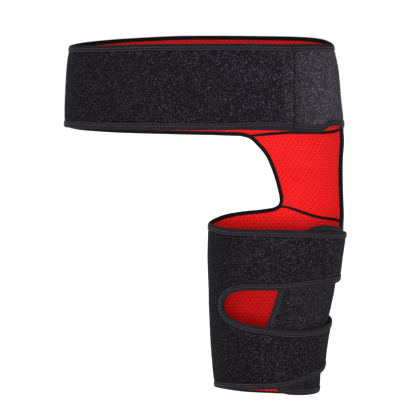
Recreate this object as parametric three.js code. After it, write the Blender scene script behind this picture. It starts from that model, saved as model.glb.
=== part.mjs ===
// A hip brace in its worn shape: a waist belt, a hip panel and a thigh wrap that splits into two straps.
// All three are cut from one laminate, a plush foam sheet with a perforated lining, and bound at the edges.
// Millimetres, +Z up. The origin is the middle of the waist, level with the middle of the belt's front;
// -Y is the front that shows the strap ends, and +X is the side of the leg that the brace supports.
import * as THREE from "three";

// Layers of the laminate, the edge tape and the seams
const LINING = 0.8;
const FOAM = 2.2;
const TAPE = 0.6;
const TAPE_WIDTH = 7.5; // the folded tape's leg outside
const TAPE_INSIDE = 4.6; // and its narrower leg on the lining
const THREAD = 0.6; // thickness of a flat seam's stitching
const SEAM_WIDTH = 5.5;
const SEAM_WEB = 0.6; // stitching between two butted edges
const GAP = 0.3; // clearance between any two pieces
const COVER_GAP = 0.4; // and under tape and flat seams, which lie over corners of the cloth

// Waist belt
const BELT_HEIGHT = 109;
const BELT_WIDTH = 361.4;
const BELT_DEPTH = 200;
const BELT_END = 114; // from the middle of the waist to the end that closes the belt
const WING_ANGLE = -80; // where the layer under that end stops

// Thigh wrap, placed from the belt
const HIP_DROP = 128; // belt's front edge to wrap's front edge
const WRAP_SIDE = 96; // middle of the waist to middle of the thigh
const WRAP_HEIGHT = 209;
const WRAP_WIDTH = 167;
const WRAP_DEPTH = 156;
const STRAP_GAP_ANGLE = 221; // blind end of the cut between the two straps
const STRAP_GAP_LEVEL = -0.49;
const UPPER_ROUND = 46; // length over which the cut opens, above and below
const LOWER_ROUND = 60;
const STRAP_END_ANGLE = 412;
const STRAP_CORNER = 20;
const FLAP_CORNER = 8;
const TAPE_JOINT = 387; // where the tape round the strap ends begins
const FLAP_JOINT = 90; // where the tape round the flap begins

// Hook patches that hold the three free ends
const HOOK = 1.2;
const HOOK_INSET = 10;
const BELT_HOOK_ANGLE = 285;
const STRAP_HOOK_ANGLE = 360;

// Hip panel: its columns of points stand under columns of the belt and over columns of the wrap
const HIP_ON_BELT = 72;
const HIP_ON_WRAP = 81;
const HIP_COLUMNS = 7;
const TAPE_TURN = 0.25; // columns by which the tape leaves the belt or wrap before the panel's corner
const SEAM_COLUMNS = { start: 0.35, end: 8.05 }; // both flat seams stop short of the tape

// Worked out from the values above
const OUTER = LINING + GAP + FOAM; // outer face, measured from the body
const LAP = OUTER + 2 * TAPE + 2 * COVER_GAP + GAP; // how far a strap stands off over the layer below it
const SEAM_GAP = SEAM_WEB + 2 * GAP;
const CROWN = COVER_GAP + TAPE; // tape's reach past the edge that it binds
const BELT_STEP = 7.2; // degrees between columns of points
const WRAP_STEP = 9;
const DEGREE = Math.PI / 180;

// Sections of the belt: level and centre as shares of its height and width, the rest of width and depth
const BELT_SECTIONS = [
  { level: -0.65, centre: 0.006, wide: 1.014, deep: 1.003 },
  { level: -0.5, centre: 0.006, wide: 1, deep: 1 },
  { level: -0.15, centre: 0.002, wide: 0.985, deep: 0.99 },
  { level: 0.2, centre: 0, wide: 0.969, deep: 0.972 },
  { level: 0.45, centre: -0.003, wide: 0.944, deep: 0.95 },
  { level: 0.7, centre: -0.004, wide: 0.918, deep: 0.925 },
];

// Edges of the belt round the waist, as shares of its height
const BELT_TOP = [
  { angle: -80, level: 0.46 },
  { angle: -52, level: 0.487 },
  { angle: -36, level: 0.494 },
  { angle: -10, level: 0.492 },
  { angle: 5, level: 0.525 },
  { angle: 22, level: 0.577 },
  { angle: 38, level: 0.605 },
  { angle: 60, level: 0.622 },
  { angle: 90, level: 0.631 },
  { angle: 119, level: 0.598 },
  { angle: 150, level: 0.545 },
  { angle: 180, level: 0.492 },
  { angle: 200, level: 0.474 },
  { angle: 226, level: 0.474 },
  { angle: 257, level: 0.486 },
  { angle: 282, level: 0.49 },
  { angle: 308, level: 0.478 },
];
const BELT_BOTTOM = [
  { angle: -80, level: -0.5 },
  { angle: -52, level: -0.52 },
  { angle: -41, level: -0.537 },
  { angle: -35, level: -0.511 },
  { angle: -28, level: -0.46 },
  { angle: -12, level: -0.464 },
  { angle: 5, level: -0.503 },
  { angle: 12, level: -0.52 },
  { angle: 22, level: -0.543 },
  { angle: 33, level: -0.554 },
  { angle: 53, level: -0.555 },
  { angle: 65, level: -0.572 },
  { angle: 78, level: -0.6 },
  { angle: 92, level: -0.585 },
  { angle: 124, level: -0.558 },
  { angle: 150, level: -0.525 },
  { angle: 180, level: -0.476 },
  { angle: 207, level: -0.486 },
  { angle: 234, level: -0.4955 },
  { angle: 252, level: -0.4995 },
  { angle: 271, level: -0.5055 },
  { angle: 292, level: -0.486 },
  { angle: 308, level: -0.514 },
];

// Sections of the wrap, which tapers and leans inward down the thigh
const WRAP_SECTIONS = [
  { level: -1.15, centre: -0.065, wide: 0.758, deep: 0.755 },
  { level: -1.02, centre: -0.063, wide: 0.79, deep: 0.781 },
  { level: -0.88, centre: -0.067, wide: 0.818, deep: 0.814 },
  { level: -0.8, centre: -0.066, wide: 0.837, deep: 0.835 },
  { level: -0.7, centre: -0.061, wide: 0.863, deep: 0.863 },
  { level: -0.6, centre: -0.052, wide: 0.891, deep: 0.89 },
  { level: -0.5, centre: -0.041, wide: 0.925, deep: 0.916 },
  { level: -0.4, centre: -0.029, wide: 0.952, deep: 0.94 },
  { level: -0.2, centre: -0.018, wide: 0.991, deep: 0.98 },
  { level: -0.05, centre: -0.002, wide: 1.015, deep: 0.995 },
  { level: 0, centre: 0.003, wide: 1.022, deep: 1 },
  { level: 0.15, centre: 0.013, wide: 1.038, deep: 1.015 },
];

// Edges of the wrap: from the flap under the straps, round the back and over to the strap ends
const WRAP_TOP = [
  { angle: -95, level: -0.017 },
  { angle: -68, level: -0.014 },
  { angle: -60, level: 0.007 },
  { angle: -50, level: 0.015 },
  { angle: -38, level: 0.009 },
  { angle: -15, level: -0.007 },
  { angle: -4, level: 0.001 },
  { angle: 6, level: 0.021 },
  { angle: 20, level: 0.027 },
  { angle: 41, level: 0.032 },
  { angle: 54, level: 0.043 },
  { angle: 65, level: 0.061 },
  { angle: 75, level: 0.084 },
  { angle: 85, level: 0.101 },
  { angle: 92, level: 0.0915 },
  { angle: 100, level: 0.082 },
  { angle: 118, level: 0.0705 },
  { angle: 137, level: 0.055 },
  { angle: 155, level: 0.034 },
  { angle: 180, level: 0.014 },
  { angle: 205, level: 0.007 },
  { angle: 228, level: -0.005 },
  { angle: 260, level: -0.007 },
  { angle: 289, level: -0.015 },
  { angle: 311, level: -0.023 },
  { angle: 340, level: -0.033 },
  { angle: 360, level: -0.039 },
  { angle: 415, level: -0.041 },
];
const UPPER_STRAP_BOTTOM = [
  { angle: 220, level: -0.377 },
  { angle: 273, level: -0.376 },
  { angle: 287, level: -0.366 },
  { angle: 307, level: -0.352 },
  { angle: 340, level: -0.345 },
  { angle: 360, level: -0.339 },
  { angle: 415, level: -0.3 },
];
const LOWER_STRAP_TOP = [
  { angle: 220, level: -0.585 },
  { angle: 256, level: -0.603 },
  { angle: 268, level: -0.613 },
  { angle: 278, level: -0.627 },
  { angle: 292, level: -0.636 },
  { angle: 308, level: -0.631 },
  { angle: 330, level: -0.62 },
  { angle: 345, level: -0.605 },
  { angle: 360, level: -0.588 },
  { angle: 415, level: -0.555 },
];
const WRAP_BOTTOM = [
  { angle: -95, level: -1.003 },
  { angle: -83, level: -1.016 },
  { angle: -67, level: -1.036 },
  { angle: -36, level: -1.044 },
  { angle: 0, level: -1.045 },
  { angle: 45, level: -1.08 },
  { angle: 72, level: -1.095 },
  { angle: 105, level: -1.079 },
  { angle: 143, level: -1.052 },
  { angle: 180, level: -1.019 },
  { angle: 203, level: -1.007 },
  { angle: 252, level: -0.999 },
  { angle: 277, level: -0.993 },
  { angle: 293, level: -0.975 },
  { angle: 308, level: -0.952 },
  { angle: 327, level: -0.924 },
  { angle: 348, level: -0.9 },
  { angle: 360, level: -0.889 },
  { angle: 415, level: -0.855 },
];

// Bound end of the flap, which shows between the straps
const FLAP_END = [
  { level: -1.05, angle: -84 },
  { level: -0.9, angle: -90 },
  { level: -0.76, angle: -93 },
  { level: -0.61, angle: -91.6 },
  { level: -0.5, angle: -89 },
  { level: -0.38, angle: -86.3 },
  { level: 0.03, angle: -76 },
];

// Side edges of the hip panel, in columns: hollowed at the groin, and more so at the outer side
const HIP_EDGES = [
  { down: 0, inner: -0.69, outer: 9.3 },
  { down: 0.025, inner: -0.43, outer: 9.3 },
  { down: 0.08, inner: -0.19, outer: 9.22 },
  { down: 0.14, inner: -0.03, outer: 9.05 },
  { down: 0.21, inner: 0.12, outer: 8.62 },
  { down: 0.3, inner: 0.18, outer: 8.18 },
  { down: 0.45, inner: 0.05, outer: 7.82 },
  { down: 0.62, inner: -0.23, outer: 7.72 },
  { down: 0.78, inner: -0.49, outer: 7.95 },
  { down: 0.88, inner: -0.57, outer: 8.38 },
  { down: 0.94, inner: -0.61, outer: 8.7 },
  { down: 0.975, inner: -0.7, outer: 8.8 },
  { down: 1, inner: -0.86, outer: 8.9 },
];

const lerp = THREE.MathUtils.lerp;
const share = (at, from, to) => (at - from) / (to - from);

// Value of one column of a table, read smoothly between its rows without overshoot.
function read(table, key, at, column) {
  const last = table.length - 1;
  const place = THREE.MathUtils.clamp(at, table[0][key], table[last][key]);
  let row = 0;
  while (row < last - 1 && place > table[row + 1][key]) row++;
  const span = (r) => table[r + 1][key] - table[r][key];
  const slope = (r) => (table[r + 1][column] - table[r][column]) / span(r);
  const tangent = (r) => {
    if (r === 0) return slope(0);
    if (r === last) return slope(last - 1);
    const [before, after] = [slope(r - 1), slope(r)];
    return before * after > 0 ? (2 * before * after) / (before + after) : 0;
  };
  const t = (place - table[row][key]) / span(row);
  const rise = table[row + 1][column] - table[row][column];
  const [start, end] = [tangent(row) * span(row), tangent(row + 1) * span(row)];
  const bend = t * t * (3 - 2 * t) * rise;
  return table[row][column] + bend + t * (1 - t) ** 2 * start - t * t * (1 - t) * end;
}

// The two forms that the loops are wrapped round: rounded ovals that change with height.
const beltForm = {
  x: 0,
  z: 0,
  height: BELT_HEIGHT,
  width: BELT_WIDTH,
  depth: BELT_DEPTH,
  roundness: 2.5,
  sections: BELT_SECTIONS,
};
const wrapForm = {
  x: WRAP_SIDE,
  z: read(BELT_BOTTOM, "angle", 270, "level") * BELT_HEIGHT - HIP_DROP,
  height: WRAP_HEIGHT,
  width: WRAP_WIDTH,
  depth: WRAP_DEPTH,
  roundness: 2.3,
  sections: WRAP_SECTIONS,
};
const levelOf = (form, z) => (z - form.z) / form.height;
const heightOf = (form, level) => form.z + level * form.height;
const edge = (form, table, angle) => heightOf(form, read(table, "angle", angle, "level"));

const signedPower = (value, power) => Math.sign(value) * Math.abs(value) ** power;

// Oval of a form at a height: its centre and half sizes.
function ovalAt(form, z) {
  const column = (name) => read(form.sections, "level", levelOf(form, z), name);
  return {
    x: form.x + column("centre") * form.width,
    wide: (column("wide") * form.width) / 2,
    deep: (column("deep") * form.depth) / 2,
  };
}

// Point of a form at an angle and height, moved straight out from it by a distance.
function onForm(form, angle, z, out) {
  const oval = ovalAt(form, z);
  const power = 2 / form.roundness;
  const [c, s] = [Math.cos(angle * DEGREE), Math.sin(angle * DEGREE)];
  const normal = new THREE.Vector2(
    signedPower(c, 2 - power) / oval.wide,
    signedPower(s, 2 - power) / oval.deep,
  ).setLength(out || 1e-9);
  const x = oval.x + oval.wide * signedPower(c, power) + normal.x;
  const y = oval.deep * signedPower(s, power) + normal.y;
  return new THREE.Vector3(x, y, z);
}

// Angle on the front of a form where it is a distance to the side of the waist's middle.
function frontAngle(form, x, z) {
  const oval = ovalAt(form, z);
  const c = signedPower((x - oval.x) / oval.wide, form.roundness / 2);
  return 360 - Math.acos(c) / DEGREE;
}

// Faces against the body. Each climbs on to its own first layer where the straps pass over it.
const climb = (angle, from, to) => LAP * THREE.MathUtils.smoothstep(angle, from, to);
const beltFace = (angle, z) => onForm(beltForm, angle, z, climb(angle, 212, 270));
const wrapFace = (angle, z) => onForm(wrapForm, angle, z, climb(angle, 205, 262));

const onBelt = (column) => HIP_ON_BELT - column * BELT_STEP;
const onWrap = (column) => HIP_ON_WRAP - column * WRAP_STEP;

// The hip panel spans two seams and leaves each in the direction of the cloth beyond it.
function hipFace(column, down) {
  const [high, low] = [onBelt(column), onWrap(column)];
  const topHeight = edge(beltForm, BELT_BOTTOM, high) - SEAM_GAP;
  const lowHeight = edge(wrapForm, WRAP_TOP, low) + SEAM_GAP;
  const top = beltFace(high, topHeight);
  const bottom = wrapFace(low, lowHeight);
  const length = top.distanceTo(bottom);
  if (down < 0) return beltFace(high, topHeight - down * length);
  if (down > 1) return wrapFace(low, lowHeight - (down - 1) * length);
  const leave = beltFace(high, topHeight - 1).sub(top).multiplyScalar(length);
  const arrive = wrapFace(low, lowHeight - 1).sub(bottom).multiplyScalar(length);
  return top
    .clone()
    .addScaledVector(bottom.sub(top), down * down * (3 - 2 * down))
    .addScaledVector(leave, down * (1 - down) ** 2)
    .addScaledVector(arrive, -down * down * (1 - down));
}

// A place on a face, with the directions in which its two parameters run and the way out of the body.
function frameAt(face, u, v) {
  const step = face === hipFace ? 1e-4 : 0.02;
  const along = face(u + step, v).sub(face(u - step, v)).divideScalar(2 * step);
  const across = face(u, v + step).sub(face(u, v - step)).divideScalar(2 * step);
  return { point: face(u, v), along, across, out: along.clone().cross(across).normalize() };
}

const lifted = (face, u, v, distance) => {
  const frame = frameAt(face, u, v);
  return frame.point.addScaledVector(frame.out, distance);
};

// A closed solid from four-cornered faces, each listed anticlockwise from outside.
function solidOf(quads, caps = []) {
  const corners = quads.flatMap(([a, b, c, d]) => [a, b, c, a, c, d]).concat(caps);
  const geometry = new THREE.BufferGeometry().setFromPoints(corners);
  geometry.computeVertexNormals();
  return geometry;
}

// A layer of cloth: columns of cells {u, v} on a face, from one distance off the body to another.
// Cloth that is slit has no face between the rows slit and slit + 1, and walls where they lie apart.
function layer(face, columns, near, far, slit = -1) {
  const inner = columns.map((cells) => cells.map(({ u, v }) => lifted(face, u, v, near)));
  const outer = columns.map((cells) => cells.map(({ u, v }) => lifted(face, u, v, far)));
  const [end, top] = [columns.length - 1, columns[0].length - 1];
  const quads = [];
  const floorWall = (i, j) =>
    quads.push([inner[i][j], inner[i + 1][j], outer[i + 1][j], outer[i][j]]);
  const roofWall = (i, j) =>
    quads.push([outer[i][j], outer[i + 1][j], inner[i + 1][j], inner[i][j]]);
  const apart = (i) => columns[i][slit].v !== columns[i][slit + 1].v;
  for (let i = 0; i < end; i++) {
    floorWall(i, 0);
    roofWall(i, top);
    for (let j = 0; j < top; j++) {
      if (j === slit) {
        if (!apart(i) && !apart(i + 1)) continue;
        roofWall(i, slit);
        floorWall(i, slit + 1);
      } else {
        quads.push([outer[i][j], outer[i + 1][j], outer[i + 1][j + 1], outer[i][j + 1]]);
        quads.push([inner[i][j], inner[i][j + 1], inner[i + 1][j + 1], inner[i + 1][j]]);
      }
    }
  }
  for (let j = 0; j < top; j++) {
    if (j === slit) continue;
    quads.push([inner[0][j], outer[0][j], outer[0][j + 1], inner[0][j + 1]]);
    quads.push([outer[end][j], inner[end][j], inner[end][j + 1], outer[end][j + 1]]);
  }
  return solidOf(quads);
}

// A section swept along an edge that is walked with the cloth on the right-hand side, seen from outside.
// Section points are {past, out}: past the edge along the face, and out from the body.
function sweep(path, section) {
  const places = path.map(({ face, u, v }) => face(u, v));
  const rings = path.map(({ face, u, v }, i) => {
    const frame = frameAt(face, u, v);
    const ahead = places[Math.min(i + 1, path.length - 1)];
    const heading = ahead.clone().sub(places[Math.max(i - 1, 0)]);
    const past = frame.out.clone().cross(heading).normalize();
    const [uu, uv, vv] = [
      frame.along.dot(frame.along),
      frame.along.dot(frame.across),
      frame.across.dot(frame.across),
    ];
    const [pu, pv] = [frame.along.dot(past), frame.across.dot(past)];
    const area = uu * vv - uv * uv;
    const [du, dv] = [(pu * vv - pv * uv) / area, (pv * uu - pu * uv) / area];
    return section.map((spot) => lifted(face, u + du * spot.past, v + dv * spot.past, spot.out));
  });
  const quads = [];
  for (let i = 0; i < rings.length - 1; i++) {
    section.forEach((_, k) => {
      const next = (k + 1) % section.length;
      quads.push([rings[i][k], rings[i][next], rings[i + 1][next], rings[i + 1][k]]);
    });
  }
  const outline = section.map(({ past, out }) => new THREE.Vector2(past, out));
  const triangles = THREE.ShapeUtils.triangulateShape(outline, []);
  const cap = (ring, order) => triangles.flatMap((t) => order.map((k) => ring[t[k]]));
  return solidOf(quads, [...cap(rings[0], [0, 2, 1]), ...cap(rings.at(-1), [0, 1, 2])]);
}

// Tape folded over an edge, and a flat seam over two butted edges.
const TAPE_SECTION = [
  { past: -TAPE_INSIDE, out: -CROWN },
  { past: CROWN, out: -CROWN },
  { past: CROWN, out: OUTER + CROWN },
  { past: -TAPE_WIDTH, out: OUTER + CROWN },
  { past: -TAPE_WIDTH, out: OUTER + COVER_GAP },
  { past: COVER_GAP, out: OUTER + COVER_GAP },
  { past: COVER_GAP, out: -COVER_GAP },
  { past: -TAPE_INSIDE, out: -COVER_GAP },
];
const HALF_SEAM = [
  { past: SEAM_WIDTH / 2, out: -COVER_GAP - THREAD },
  { past: SEAM_WIDTH / 2, out: -COVER_GAP },
  { past: SEAM_WEB / 2, out: -COVER_GAP },
  { past: SEAM_WEB / 2, out: OUTER + COVER_GAP },
  { past: SEAM_WIDTH / 2, out: OUTER + COVER_GAP },
  { past: SEAM_WIDTH / 2, out: OUTER + COVER_GAP + THREAD },
];
const SEAM_SECTION = [
  ...HALF_SEAM,
  ...HALF_SEAM.map(({ past, out }) => ({ past: -past, out })).reverse(),
];

// Whole steps of an angle between two others, with both of those and any extra angles, in order.
function anglesBetween(from, to, step, extra = []) {
  const whole = [];
  for (let a = Math.ceil(from / step) * step; a < to; a += step) whole.push(a);
  const kept = [from, ...extra, to].filter((a) => a >= from && a <= to);
  const clear = whole.filter((a) => kept.every((k) => Math.abs(k - a) > step / 3));
  return [...clear, ...kept].sort((a, b) => a - b);
}

const spread = (from, to, count) =>
  Array.from({ length: count + 1 }, (_, k) => lerp(from, to, k / count));

// How much a corner of a radius takes off an edge at a distance from the end of the cloth.
const cornerCut = (distance, radius) =>
  radius - Math.sqrt(radius ** 2 - (radius - Math.min(distance, radius)) ** 2);
const CORNER_SHARES = [0, 0.076, 0.293, 0.617, 1]; // a quarter circle in four equal turns

// Columns where the tape's leg ends beside each side edge of the hip panel, at one row of its table.
function hipLegs(row) {
  const { down, inner, outer } = HIP_EDGES.at(row);
  const leg = (column) => (TAPE_WIDTH + GAP) / frameAt(hipFace, column, down).along.length();
  return { inner: inner + leg(inner), outer: outer - leg(outer) };
}

// Angles on the belt or wrap where the tape turns off to the hip panel, and where its leg ends.
function turnsOf(angleOf, row) {
  const legs = hipLegs(row);
  const { inner, outer } = HIP_EDGES.at(row);
  return {
    inner: angleOf(inner - TAPE_TURN),
    outer: angleOf(outer + TAPE_TURN),
    legs: [legs.outer, SEAM_COLUMNS.end, legs.inner].map(angleOf),
  };
}

// The belt starts as the wing under the closing end, goes round the back, and ends square on the front.
const BELT_TURNS = turnsOf(onBelt, 0);
const BELT_ROWS = 3;
const LAST_BELT_ANGLE = 294; // columns past it turn towards the upright end

function beltColumns() {
  const column = (angleAt) => {
    const [low, high] = [BELT_BOTTOM, BELT_TOP].map((table) => {
      const first = edge(beltForm, table, LAST_BELT_ANGLE);
      return edge(beltForm, table, angleAt(first));
    });
    return spread(low, high, BELT_ROWS).map((v) => ({ u: angleAt(v), v }));
  };
  const turns = [BELT_TURNS.outer, ...BELT_TURNS.legs, BELT_TURNS.inner];
  const regular = anglesBetween(WING_ANGLE, LAST_BELT_ANGLE, BELT_STEP, turns);
  const closing = [0.5, 1].map(
    (part) => (z) => lerp(LAST_BELT_ANGLE, frontAngle(beltForm, BELT_END, z), part),
  );
  return [...regular.map((angle) => column(() => angle)), ...closing.map(column)];
}

// The wrap starts at the flap, goes round the back and is slit into two straps with round ends.
const WRAP_TURNS = turnsOf(onWrap, -1);
const BAND_ROWS = [3, 2]; // rows of faces below and above the slit
const FLAP_ANGLE = -63; // columns before it turn towards the slanted end of the flap
const ARC = (Math.min(WRAP_WIDTH, WRAP_DEPTH) / 2) * DEGREE; // length of a degree on the wrap

function wrapColumns() {
  const slitHeight = heightOf(wrapForm, STRAP_GAP_LEVEL);
  const opening = (table, angle, length) => {
    const distance = (angle - STRAP_GAP_ANGLE) * ARC;
    const closed = 1 - THREE.MathUtils.clamp(distance / length, 0, 1);
    return lerp(slitHeight, edge(wrapForm, table, angle), Math.sqrt(1 - closed ** 2));
  };
  const column = (angleAt, cut, slit = false) => {
    const angle = angleAt(slitHeight);
    const strapCut = slit ? cut : 0;
    const levels = [
      edge(wrapForm, WRAP_BOTTOM, angleAt(edge(wrapForm, WRAP_BOTTOM, angle))) + cut,
      slit ? opening(LOWER_STRAP_TOP, angle, LOWER_ROUND) - strapCut : slitHeight,
      slit ? opening(UPPER_STRAP_BOTTOM, angle, UPPER_ROUND) + strapCut : slitHeight,
      edge(wrapForm, WRAP_TOP, angleAt(edge(wrapForm, WRAP_TOP, angle))) - cut,
    ];
    return BAND_ROWS.flatMap((rows, band) => spread(levels[2 * band], levels[2 * band + 1], rows))
      .map((v) => ({ u: angleAt(v), v }));
  };
  const flapEnd = (z) => read(FLAP_END, "level", levelOf(wrapForm, z), "angle");
  const flapWidth = (FLAP_ANGLE - flapEnd(wrapForm.z)) * ARC;
  const flap = CORNER_SHARES.map((part) => {
    const turned = (z) => lerp(flapEnd(z), FLAP_ANGLE, (part * FLAP_CORNER) / flapWidth);
    return column(turned, cornerCut(part * FLAP_CORNER, FLAP_CORNER));
  });
  const turns = [WRAP_TURNS.outer, ...WRAP_TURNS.legs, WRAP_TURNS.inner];
  const body = anglesBetween(FLAP_ANGLE, STRAP_GAP_ANGLE, WRAP_STEP, turns).map((angle) =>
    column(() => angle, 0),
  );
  const roundStart = STRAP_END_ANGLE - STRAP_CORNER / ARC;
  const mouth = CORNER_SHARES.slice(1).map(
    (part) => STRAP_GAP_ANGLE + (part * UPPER_ROUND) / ARC,
  );
  const straps = anglesBetween(mouth.at(-1), roundStart, WRAP_STEP).slice(1, -1);
  const slitAngles = [...mouth, ...straps];
  const ends = [...CORNER_SHARES].reverse().map((part) => {
    const angle = STRAP_END_ANGLE - (part * STRAP_CORNER) / ARC;
    return column(() => angle, cornerCut(part * STRAP_CORNER, STRAP_CORNER), true);
  });
  return [...flap, ...body, ...slitAngles.map((a) => column(() => a, 0, true)), ...ends];
}

// The hip panel's columns close up towards its middle, where its side edges are hollowed.
function hipColumns() {
  const rows = HIP_EDGES.map((edges, row) => ({ ...edges, legs: hipLegs(row) }));
  const between = [...spread(0, HIP_COLUMNS, HIP_COLUMNS), SEAM_COLUMNS.end];
  const shareOf = (place, { legs }) => share(place, legs.inner, legs.outer);
  const column = (placeAt) => rows.map((edges) => ({ u: placeAt(edges), v: edges.down }));
  return [
    column(({ inner }) => inner),
    column(({ legs }) => legs.inner),
    ...between.map((place) =>
      column(({ legs, down }) => {
        const part = lerp(shareOf(place, rows[0]), shareOf(place, rows.at(-1)), down);
        return lerp(legs.inner, legs.outer, part);
      }),
    ),
    column(({ legs }) => legs.outer),
    column(({ outer }) => outer),
  ];
}

const belt = beltColumns();
const wrap = wrapColumns();
const hip = hipColumns();
const SLIT = BAND_ROWS[0]; // the wrap's row of points below the slit

// Edges of the three pieces as walks, each with the cloth on the right-hand side.
const walk = (face, cells) => cells.map(({ u, v }) => ({ face, u, v }));
const row = (columns, index) => columns.map((cells) => cells.at(index));
const beltTop = walk(beltFace, row(belt, -1));
const beltBottom = walk(beltFace, row(belt, 0)).reverse();
const wrapTop = walk(wrapFace, row(wrap, -1));
const wrapBottom = walk(wrapFace, row(wrap, 0)).reverse();
const slitRoof = walk(wrapFace, row(wrap, SLIT + 1)).reverse();
const slitFloor = walk(wrapFace, row(wrap, SLIT));
const hipInner = walk(hipFace, hip[0].slice(1, -1));
const hipOuter = walk(hipFace, hip.at(-1).slice(1, -1)).reverse();
const upperEnd = walk(wrapFace, wrap.at(-1).slice(SLIT + 2, -1)).reverse();
const lowerEnd = walk(wrapFace, wrap.at(-1).slice(1, SLIT)).reverse();
const flapEdge = walk(wrapFace, wrap[0].slice(1, -1)).filter((_, k) => k !== SLIT);

const within = (path, from, to) =>
  path.filter(({ u }) => u >= from - 1e-6 && u <= to + 1e-6);

// A walk shortened by a clearance at its far end, so that two tapes butt without touching.
function shortened(path) {
  const [last, before] = [path.at(-1), path.at(-2)];
  const part = (2 * GAP) / last.face(last.u, last.v).distanceTo(before.face(before.u, before.v));
  const end = { ...last, u: lerp(last.u, before.u, part), v: lerp(last.v, before.v, part) };
  return [...path.slice(0, -1), end];
}

const tapeWalks = {
  belt_top_binding: beltTop,
  inner_edge_binding: shortened([
    ...within(beltBottom, BELT_TURNS.inner, 360),
    ...hipInner,
    ...within(wrapTop, WRAP_TURNS.inner, TAPE_JOINT),
  ]),
  strap_gap_binding: shortened([
    ...within(wrapTop, TAPE_JOINT, STRAP_END_ANGLE),
    ...upperEnd,
    ...within(slitRoof, STRAP_GAP_ANGLE + 0.1, STRAP_END_ANGLE),
    ...within(slitFloor, STRAP_GAP_ANGLE, STRAP_END_ANGLE),
    ...lowerEnd,
    ...within(wrapBottom, TAPE_JOINT, STRAP_END_ANGLE),
  ]),
  wrap_bottom_binding: shortened(within(wrapBottom, FLAP_JOINT, TAPE_JOINT)),
  outer_edge_binding: [
    ...within(wrapBottom, -180, FLAP_JOINT),
    ...flapEdge,
    ...within(wrapTop, -180, WRAP_TURNS.outer),
    ...hipOuter,
    ...within(beltBottom, WING_ANGLE, BELT_TURNS.outer),
  ],
};

// Flat seams, which stop short of the tape on each side edge of the hip panel.
function seamWalk(face, form, table, angleOf, side) {
  return anglesBetween(SEAM_COLUMNS.start, SEAM_COLUMNS.end, 1).map((column) => {
    const u = angleOf(column);
    return { face, u, v: edge(form, table, u) + (side * SEAM_GAP) / 2 };
  });
}
const beltSeam = seamWalk(beltFace, beltForm, BELT_BOTTOM, onBelt, -1);
const thighSeam = seamWalk(wrapFace, wrapForm, WRAP_TOP, onWrap, 1);

// A hook patch under a free end: some columns of its cloth between two rows, clear of the tape.
function hookPatch(face, columns, low, high) {
  const cells = columns.map((column) => {
    const kept = column.slice(low, high + 1).map((cell) => ({ ...cell }));
    kept[0].v += HOOK_INSET;
    kept.at(-1).v -= HOOK_INSET;
    return kept;
  });
  return layer(face, cells, -GAP - HOOK, -GAP);
}

const plush = new THREE.MeshStandardMaterial({ color: 0x232227, roughness: 0.95 });
const perforated = new THREE.MeshStandardMaterial({ color: 0xd8201f, roughness: 0.6 });
const tape = new THREE.MeshStandardMaterial({ color: 0x26272b, roughness: 0.8 });
const thread = new THREE.MeshStandardMaterial({ color: 0x161518, roughness: 0.85 });
const hook = new THREE.MeshStandardMaterial({ color: 0x1b1b1e, roughness: 0.7 });

const brace = new THREE.Group();
function add(name, geometry, material) {
  const mesh = new THREE.Mesh(geometry, material);
  mesh.name = name;
  brace.add(mesh);
}

add("belt_lining", layer(beltFace, belt, 0, LINING), perforated);
add("belt_shell", layer(beltFace, belt, LINING + GAP, OUTER), plush);
add("hip_panel_lining", layer(hipFace, hip, 0, LINING), perforated);
add("hip_panel_shell", layer(hipFace, hip, LINING + GAP, OUTER), plush);
add("thigh_wrap_lining", layer(wrapFace, wrap, 0, LINING, SLIT), perforated);
add("thigh_wrap_shell", layer(wrapFace, wrap, LINING + GAP, OUTER, SLIT), plush);
for (const [name, path] of Object.entries(tapeWalks)) {
  add(name, sweep(path, TAPE_SECTION), tape);
}
add("belt_seam", sweep(beltSeam, SEAM_SECTION), thread);
add("thigh_seam", sweep(thighSeam, SEAM_SECTION), thread);

const beltEnd = belt.filter((cells) => cells[0].u >= BELT_HOOK_ANGLE).slice(0, -1);
const strapEnds = wrap.filter((cells) => cells[0].u >= STRAP_HOOK_ANGLE).slice(0, -3);
const TOP_ROW = wrap[0].length - 1;
add("belt_hook_patch", hookPatch(beltFace, beltEnd, 0, BELT_ROWS), hook);
add("upper_strap_hook_patch", hookPatch(wrapFace, strapEnds, SLIT + 1, TOP_ROW), hook);
add("lower_strap_hook_patch", hookPatch(wrapFace, strapEnds, 0, SLIT), hook);

export default brace;
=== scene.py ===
import math

import bpy
import numpy as np
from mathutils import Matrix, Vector
from mathutils.kdtree import KDTree


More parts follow.
